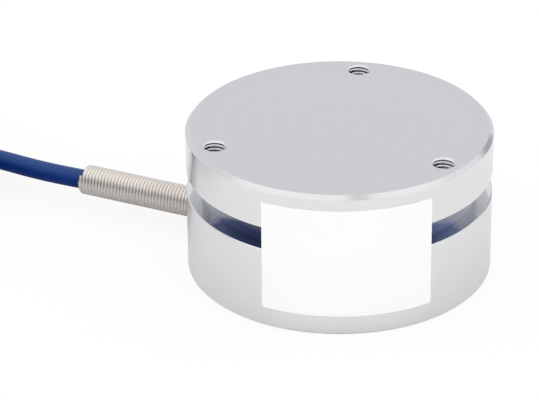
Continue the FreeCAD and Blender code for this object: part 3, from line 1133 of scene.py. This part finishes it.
@dataclass
class CoiledCable:
    """Jacketed cable: its run from the spring, the put-away coil, and its stripped end."""

    diameter: float = 5.4 * MM
    length: float = 3.0
    mouth: Point = (-76.6 * MM, 0.0, 7.25 * MM)
    route: tuple[Point, ...] = (
        (-65.1 * MM, -0.05 * MM, 7.2 * MM), (-76.0 * MM, -0.12 * MM, 7.12 * MM),
        (-90.0 * MM, 0.0, 6.8 * MM), (-104.7 * MM, 1.7 * MM, 6.6 * MM),
        (-121.8 * MM, 6.0 * MM, 4.4 * MM))
    coil_centre: Point = (-144.927 * MM, -29.224 * MM, 0.0)
    outer_slot: float = 38.1 * MM
    first_layer: float = 3.7 * MM
    slots: int = 4
    entry_deg: float = 82.0
    points_per_turn: int = 16
    rise_from: float = 0.375
    shift_from: float = 0.75
    climb_points: int = 4
    climb_end_deg: float = 160.0
    tail_end_deg: float = 205.0
    tail_radius: float = 33.0 * MM
    lead_radius: float = 0.5 * MM
    lead_ring: float = 1.35 * MM
    lead_pitch: float = 1.8 * MM
    lead_fall: float = 9.0 * MM
    first_lead_deg: float = 18.0
    bare_share: float = 0.8
    tip_share: float = 0.6
    tip_lap: float = 0.03
    leads: tuple[tuple[str, float, int, Finish], ...] = (
        ("red", 34.0 * MM, 2, Finish.RED), ("black", 31.0 * MM, 0, Finish.BLACK),
        ("green", 33.0 * MM, -2, Finish.GREEN), ("white", 30.0 * MM, -1, Finish.WHITE),
        ("shield", 27.0 * MM, 1, Finish.TINNED_COPPER))
    curve_order: int = 3
    curve_steps: int = 6
    ring_steps: int = 5

    @property
    def widen(self) -> float:
        """Control radius of a turn, for a curve of radius 1."""
        return 1.0 / (0.75 + 0.25 * math.cos(math.tau / self.points_per_turn))

    def slot_order(self) -> list[tuple[int, int]]:
        """Order in which the turns fill the coil's section, in and out again by layers.

        Returns:
            (layer, slot) of each turn.
        """
        order = []
        for layer in range(self.slots):
            row = list(range(self.slots))
            order += [(layer, slot) for slot in (row if layer % 2 == 0 else row[::-1])]
        return order

    def spot(self, layer: float, slot: float) -> tuple[float, float]:
        """Radius and height of a place in the coil's section."""
        return self.outer_slot - slot * self.diameter, self.first_layer + layer * self.diameter

    def on_coil(self, radius: float, degrees: float, height: float) -> Vector:
        """Control point of the curve on the coil."""
        return Vector(self.coil_centre) + polar(radius * self.widen, degrees, height)

    def coil_points(self) -> list[Vector]:
        """Control points of the coil's turns and of the tail on its top.

        Returns:
            The points, in the cable's order.
        """
        order = self.slot_order()
        points = []
        step_deg = 360.0 / self.points_per_turn
        for here, ahead in zip(order, order[1:]):
            for step in range(self.points_per_turn):
                share = step / self.points_per_turn
                rise = smoothstep((share - self.rise_from) / (self.shift_from - self.rise_from))
                shift = smoothstep((share - self.shift_from) / (1.0 - self.shift_from))
                layer = here[0] + (ahead[0] - here[0]) * rise
                slot = here[1] + (ahead[1] - here[1]) * shift
                radius, height = self.spot(layer, slot)
                points.append(self.on_coil(radius, self.entry_deg + step * step_deg, height))
        last_layer, last_slot = order[-1]
        radius, height = self.spot(last_layer, last_slot + 1)
        for step in range(self.climb_points + 1):
            lift = math.radians(90.0 * step / self.climb_points)
            degrees = self.entry_deg + (self.climb_end_deg - self.entry_deg) * step / self.climb_points
            points.append(self.on_coil(radius + self.diameter * math.cos(lift), degrees,
                                       height + self.diameter * math.sin(lift)))
        top = height + self.diameter
        middle = (self.climb_end_deg + self.tail_end_deg) / 2
        points.append(self.on_coil(self.tail_radius, middle, top))
        points.append(Vector(self.coil_centre) + polar(self.tail_radius, self.tail_end_deg, top))
        return points

    def tube(self, name: str, points: Sequence[Vector], radius: float, finish: Finish) -> Piece:
        """Round tube on a smooth curve.

        Args:
            name: Name of the piece.
            points: Control points.
            radius: Radius of the tube.
            finish: Its finish.

        Returns:
            The curve.
        """
        curve = bpy.data.curves.new(name, "CURVE")
        curve.dimensions = "3D"
        spline = curve.splines.new("NURBS")
        spline.points.add(len(points) - 1)
        for control, point in zip(spline.points, points):
            control.co = (*point, 1.0)
        spline.use_endpoint_u = True
        spline.order_u = self.curve_order
        spline.resolution_u = self.curve_steps
        curve.bevel_depth = radius
        curve.bevel_resolution = self.ring_steps
        curve.use_fill_caps = True
        curve.materials.append(finish.material())
        piece = bpy.data.objects.new(name, curve)
        bpy.context.collection.objects.link(piece)
        return piece

    def lead_points(self, index: int, length: float, lane: int) -> list[Vector]:
        """Control points of one stripped lead, from the jacket's cut face on to the coil's top.

        Args:
            index: The lead's number.
            length: How far it goes on past the cut face.
            lane: Where it lies on the coil, in pitches off the tail's line.

        Returns:
            The points.
        """
        top = self.first_layer + (self.slots - 0.5) * self.diameter
        centre = Vector(self.coil_centre)
        face = centre + polar(self.tail_radius, self.tail_end_deg, top + self.diameter / 2)
        ahead = polar(1.0, self.tail_end_deg + 90.0)
        outward = polar(1.0, self.tail_end_deg)
        spot = math.radians(360.0 / len(self.leads) * index + self.first_lead_deg)
        upward = Vector((0, 0, self.lead_ring * math.sin(spot)))
        start = face + outward * (self.lead_ring * math.cos(spot)) + upward
        points = [start, start + ahead * (self.lead_fall / 3)]
        for along in (self.lead_fall, (self.lead_fall + length) / 2, length):
            turn = math.degrees(along / self.tail_radius)
            points.append(centre + polar(self.tail_radius + lane * self.lead_pitch,
                                         self.tail_end_deg + turn, top + self.lead_radius))
        return points

    def strip(self) -> list[Piece]:
        """The stripped leads with their bare tips.

        Returns:
            The pieces.
        """
        pieces = []
        for index, (colour, length, lane, finish) in enumerate(self.leads):
            points = self.lead_points(index, length, lane)
            lead = self.tube("stripped_lead_" + colour, points, self.lead_radius, finish)
            pieces.append(lead)
            if finish is Finish.TINNED_COPPER:
                Bench.to_mesh(lead)
                Frame.settle(lead, "tinned_copper", ["lead_" + colour])
                continue
            lead.data.bevel_factor_end = self.bare_share
            Bench.to_mesh(lead)
            Frame.settle(lead, "wire_" + colour, ["lead_" + colour])
            thin = self.tip_share * self.lead_radius
            tip = self.tube("bare_tip_" + colour, points, thin, Finish.TINNED_COPPER)
            tip.data.bevel_factor_start = self.bare_share - self.tip_lap
            Bench.to_mesh(tip)
            Frame.settle(tip, "tinned_copper")
            pieces.append(tip)
        return pieces

    def build(self, guard: Piece, tie: Piece) -> None:
        """Args:
            guard: The spring on its exit; not used.
            tie: The strap round its coil; not used.
        """
        points = [Vector(point) for point in self.route] + self.coil_points()
        cable = self.tube("blue_cable", points, self.diameter / 2, Finish.JACKET)
        Frame.settle(cable, "cable_blue", ["cable_run", "cable_coil", "cable_tail"])
        leads = self.strip()
        Frame.dress("cable_entry", Finish.JACKET)


@dataclass
class CoilTie:
    """Moulded strap round the coil's section, with its lock and the trimmed end in it."""

    centre: Point = CoiledCable.coil_centre
    degrees: float = 300.0
    inner: float = 19.115 * MM
    outer: float = 40.8 * MM
    low: float = 1.0 * MM
    high: float = 22.6 * MM
    bend: float = 2.7 * MM
    bend_steps: int = 6
    bend_over_deg: float = 40.0
    width: float = 3.6 * MM
    thickness: float = 1.0 * MM
    soft_edge: float = 0.22 * MM
    soft_steps: int = 2
    soft_over_deg: float = 50.0
    lock_side: float = 5.0 * MM
    lock_height: float = 3.5 * MM
    lock_radius: float = 30.0 * MM
    lock_wall: float = 0.8 * MM
    window_depth: float = 1.1 * MM
    window_taper: float = 0.8
    stub_rise: float = 0.9 * MM
    stub_lean: float = 0.5 * MM

    def soften(self, piece: Piece, width: float) -> Piece:
        """Round the edges of a moulded piece and hand it back."""
        Bench.bevel(piece, width, self.soft_steps, self.soft_over_deg)
        return piece

    def strap(self) -> Piece:
        """The strap that hugs the outermost turns.

        Returns:
            The strap.
        """
        strap = Bench.section("coil_tie_strap", [(self.inner, self.low), (self.outer, self.low),
                                                 (self.outer, self.high), (self.inner, self.high)])
        Bench.edit(strap)
        bpy.ops.transform.translate(value=(0.0, -self.width / 2, 0.0))
        bpy.ops.mesh.extrude_edges_move(TRANSFORM_OT_translate={"value": (0.0, self.width, 0.0)})
        Bench.tidy(strap)
        Bench.bevel(strap, self.bend, self.bend_steps, self.bend_over_deg)
        Bench.modify(strap, "SOLIDIFY", thickness=self.thickness, offset=1.0)
        return self.soften(strap, self.soft_edge)

    def lock(self) -> Piece:
        """The lock with the window that the strap's end comes out of.

        Returns:
            The lock.
        """
        base = self.high + self.thickness / 2
        lock = Bench.block("tie_lock", (self.lock_side, self.lock_side, self.lock_height),
                           (self.lock_radius, 0.0, base + self.lock_height / 2))
        Bench.pick(lock, Bench.faces_up)
        bpy.ops.mesh.inset(thickness=self.lock_wall)
        down = (0.0, 0.0, -self.window_depth)
        bpy.ops.mesh.extrude_region_move(TRANSFORM_OT_translate={"value": down})
        bpy.ops.transform.resize(value=(self.window_taper, 1.0, 1.0))
        return self.soften(lock, self.soft_edge)

    def stub(self) -> Piece:
        """The strap's end, trimmed just above the lock.

        Returns:
            The end.
        """
        top = self.high + self.thickness / 2 + self.lock_height + self.stub_rise
        tall = self.stub_rise + 2 * self.window_depth
        stub = Bench.block("tie_stub", (self.thickness, self.width - 2 * self.soft_edge, tall),
                           (self.lock_radius, 0.0, top - tall / 2))
        Bench.pick(stub, Bench.faces_up)
        bpy.ops.transform.translate(value=(self.stub_lean, 0.0, 0.0))
        return self.soften(stub, self.soft_edge / 2)

    def build(self) -> Piece:
        """Make the tie round the coil.

        Returns:
            The tie.
        """
        tie = Bench.join([self.strap(), self.lock(), self.stub()])
        turn = Matrix.Rotation(math.radians(self.degrees), 4, "Z")
        tie.data.transform(Matrix.Translation(self.centre) @ turn)
        tie.data.materials.clear()
        tie.data.materials.append(Finish.TIE.material())
        Bench.smooth(tie)
        Frame.settle(tie, "tie_nylon", ["coil_tie"])
        return tie


@dataclass
class FrontLabel:
    """Plain white sheet bent round the front."""

    radius: float = 40.0 * MM
    thickness: float = 0.12 * MM
    width: float = 45.0 * MM
    height: float = 30.0 * MM
    foot: float = 5.3 * MM
    middle_deg: float = -62.8
    steps: int = 64

    def build(self) -> None:
        """Bend the sheet round the body."""
        sweep = self.width / self.radius
        outer = self.radius + self.thickness
        top = self.foot + self.height
        corners = [(self.radius, self.foot), (outer, self.foot), (outer, top), (self.radius, top)]
        start = self.middle_deg + math.degrees(sweep) / 2
        sheet = Bench.section("front_label_sheet", corners, start)
        Bench.edit(sheet)
        bpy.ops.mesh.spin(steps=self.steps, angle=sweep, center=(0, 0, 0), axis=(0, 0, 1))
        bpy.ops.mesh.select_all(action="SELECT")
        bpy.ops.mesh.fill_holes(sides=0)
        Bench.tidy(sheet)
        sheet.data.materials.append(Finish.LABEL.material())
        Bench.smooth(sheet)
        Frame.settle(sheet, "label_film", ["front_label"])


@dataclass
class KeptNodes:
    """CAD nodes whose shapes stay as they are."""

    finishes: tuple[tuple[str, Finish], ...] = ()

    def dress(self) -> None:
        """Give each node its finish."""
        for node, finish in self.finishes:
            Frame.dress(node, finish)


@dataclass
class ClosedBase(KeptNodes):
    """Cover, gasket and screws under the base, and the seal and crimp on the cable."""

    finishes: tuple[tuple[str, Finish], ...] = (
        ("bottom_cover", Finish.COVER_PLATE), ("cover_gasket", Finish.GASKET),
        ("cover_screws", Finish.BRIGHT_STEEL), ("crimp_sleeve", Finish.BRASS),
        ("cable_seal", Finish.GASKET))


@dataclass
class GaugeBridge(KeptNodes):
    """Strain gauges, bridge board and wires inside the body."""

    finishes: tuple[tuple[str, Finish], ...] = (
        ("terminal_board", Finish.BOARD), ("board_standoffs", Finish.BRASS),
        ("board_screws", Finish.BRIGHT_STEEL), ("trim_resistors", Finish.CHIP),
        ("gauge_wires", Finish.ENAMEL), ("core_red", Finish.RED), ("core_black", Finish.BLACK),
        ("core_green", Finish.GREEN), ("core_white", Finish.WHITE),
        ("drain_wire", Finish.TINNED_COPPER), ("strain_gauge_1", Finish.GAUGE),
        ("strain_gauge_2", Finish.GAUGE), ("strain_gauge_3", Finish.GAUGE),
        ("strain_gauge_4", Finish.GAUGE))


@dataclass
class Studio:
    """Pale floor, soft light from all round, and the camera."""

    floor_radius: float = 3.0
    floor_sides: int = 96
    floor_tone: float = 0.80
    seen_tone: float = 0.92
    floor_lift: float = 0.85
    light: float = 1.15
    camera_place: Point = (267.94 * MM, -601.80 * MM, 366.20 * MM)
    camera_turn: Point = (62.0993, 0.5261, 25.3133)
    focal: float = 189.40
    sensor: float = 36.0
    clip: Span = (0.01, 20.0)
    front_deg: float = -66.0
    front_colour: Colour = (0.66, 0.67, 0.69)
    front_turn: Span = (60.0, 50.0)
    flank_colour: Colour = (0.27, 0.29, 0.33)
    flank_turn: Span = (106.0, 84.0)
    left_colour: Colour = (1.02, 1.02, 1.02)
    right_colour: Colour = (1.18, 1.18, 1.2)
    side_span: Span = (-0.3, 0.3)
    back_colour: Colour = (0.95, 0.95, 0.95)
    back_turn: Span = (165.0, 145.0)
    corner_colour: Colour = (0.58, 0.58, 0.6)
    corner_behind: Span = (-0.5, -0.62)
    corner_right: Span = (0.5, 0.6)
    corner_top: Span = (0.36, 0.24)
    roof_colour: Colour = (1.38, 1.37, 1.35)
    roof_rises: tuple[Span, Span] = ((48.0, 62.0), (31.0, 43.0))
    roof_turn: Span = (140.0, 112.0)
    gap_colour: Colour = (1.0, 1.0, 1.0)
    gap_left: Span = (0.1, 0.25)
    gap_right: Span = (0.6, 0.45)
    gap_front: Span = (0.6, 0.8)

    def lay_floor(self) -> None:
        """Pale floor that keeps a soft shadow, and its plain tone in gloss."""
        Bench.start()
        bpy.ops.mesh.primitive_circle_add(vertices=self.floor_sides, radius=self.floor_radius,
                                          fill_type="NGON")
        floor = Bench.added("studio_floor")
        material = bpy.data.materials.new("studio_floor")
        material.use_nodes = True
        tree = material.node_tree
        tree.nodes.remove(tree.nodes["Principled BSDF"])
        sheet = Sheet(tree)
        path = sheet.node("ShaderNodeLightPath", {})
        seen = sheet.math("MAXIMUM", path.outputs["Is Camera Ray"], path.outputs["Is Transmission Ray"])
        tone = sheet.blend(seen, rgba((self.floor_tone,) * 3), rgba((self.seen_tone,) * 3))
        matte = sheet.node("ShaderNodeBsdfDiffuse", {"Color": tone})
        white = sheet.node("ShaderNodeEmission", {"Strength": 1.0})
        lift = sheet.math("MULTIPLY", seen, self.floor_lift)
        sheet.feed(tree.nodes["Material Output"].inputs[0], sheet.shaders(lift, matte, white))
        floor.data.materials.append(material)

    def walls(self, sheet: Sheet, facing: Socket, across: Socket, height: Socket) -> Socket:
        """Walls of the room that gloss shows: darker in front, pale to the sides and behind.

        Args:
            sheet: The world's node tree.
            facing: How far a direction faces the front.
            across: How far it faces the right.
            height: How far it faces up.

        Returns:
            The walls' colour.
        """
        side = sheet.ramp(across, self.side_span)
        walls = sheet.blend(side, rgba(self.left_colour), rgba(self.right_colour))
        walls = sheet.blend(sheet.turned(facing, self.back_turn), rgba(self.back_colour), walls)
        walls = sheet.blend(sheet.turned(facing, self.flank_turn), walls, rgba(self.flank_colour))
        walls = sheet.blend(sheet.turned(facing, self.front_turn), walls, rgba(self.front_colour))
        corner = sheet.product(sheet.ramp(facing, self.corner_behind),
                               sheet.ramp(across, self.corner_right),
                               sheet.ramp(height, self.corner_top))
        return sheet.blend(corner, walls, rgba(self.corner_colour))

    def room(self, sheet: Sheet) -> Socket:
        """Whole room that gloss shows: the walls under a bright roof with one gap.

        Args:
            sheet: The world's node tree.

        Returns:
            The room's colour.
        """
        way = sheet.node("ShaderNodeTexCoord", {}).outputs["Generated"]
        axes = sheet.node("ShaderNodeSeparateXYZ", {0: way})
        facing, across = sheet.bearings(axes, (self.front_deg, self.front_deg + 90.0))
        height = axes.outputs[2]
        walls = self.walls(sheet, facing, across, height)
        gap = sheet.product(sheet.ramp(across, self.gap_left), sheet.ramp(across, self.gap_right),
                            sheet.ramp(facing, self.gap_front))
        panels = sheet.blend(gap, rgba(self.roof_colour), rgba(self.gap_colour))
        roofs = []
        for rises in self.roof_rises:
            low, high = (math.sin(math.radians(angle)) for angle in rises)
            roofs.append(sheet.blend(sheet.ramp(height, (low, high)), walls, panels))
        return sheet.blend(sheet.turned(facing, self.roof_turn), *roofs)

    def hang_light(self) -> None:
        """Even light from all round, with a room that only gloss shows."""
        world = bpy.data.worlds.new("studio")
        bpy.context.scene.world = world
        world.use_nodes = True
        world.node_tree.nodes.clear()
        sheet = Sheet(world.node_tree)
        studio = sheet.node("ShaderNodeBackground", {"Color": self.room(sheet), "Strength": 1.0})
        white = rgba((1.0, 1.0, 1.0))
        plain = sheet.node("ShaderNodeBackground", {"Color": white, "Strength": self.light})
        gloss = sheet.node("ShaderNodeLightPath", {}).outputs["Is Glossy Ray"]
        sheet.node("ShaderNodeOutputWorld", {0: sheet.shaders(gloss, plain, studio)})

    def stand_camera(self) -> None:
        """Camera at the photograph's place, for an image of its shape."""
        data = bpy.data.cameras.new("photo_camera")
        data.sensor_fit = "HORIZONTAL"
        data.sensor_width = self.sensor
        data.lens = self.focal
        data.clip_start, data.clip_end = self.clip
        camera = bpy.data.objects.new("photo_camera", data)
        camera.location = self.camera_place
        camera.rotation_euler = [math.radians(turn) for turn in self.camera_turn]
        bpy.context.collection.objects.link(camera)
        bpy.context.scene.camera = camera

    def build(self) -> None:
        """Set up the studio."""
        self.lay_floor()
        self.hang_light()
        self.stand_camera()
        bpy.context.scene.view_settings.view_transform = "Standard"
        LOG.info("studio: floor, light and camera")


def main() -> None:
    """Build and dress every sub-assembly."""
    logging.basicConfig(level=logging.INFO, format="%(name)s: %(message)s")
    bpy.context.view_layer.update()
    Studio().build()
    guard = SpringGuard().build()
    CoiledCable().build(guard, CoilTie().build())
    SensingBody().build()
    FrontLabel().build()
    ClosedBase().dress()
    GaugeBridge().dress()


if __name__ == "__main__":
    main()
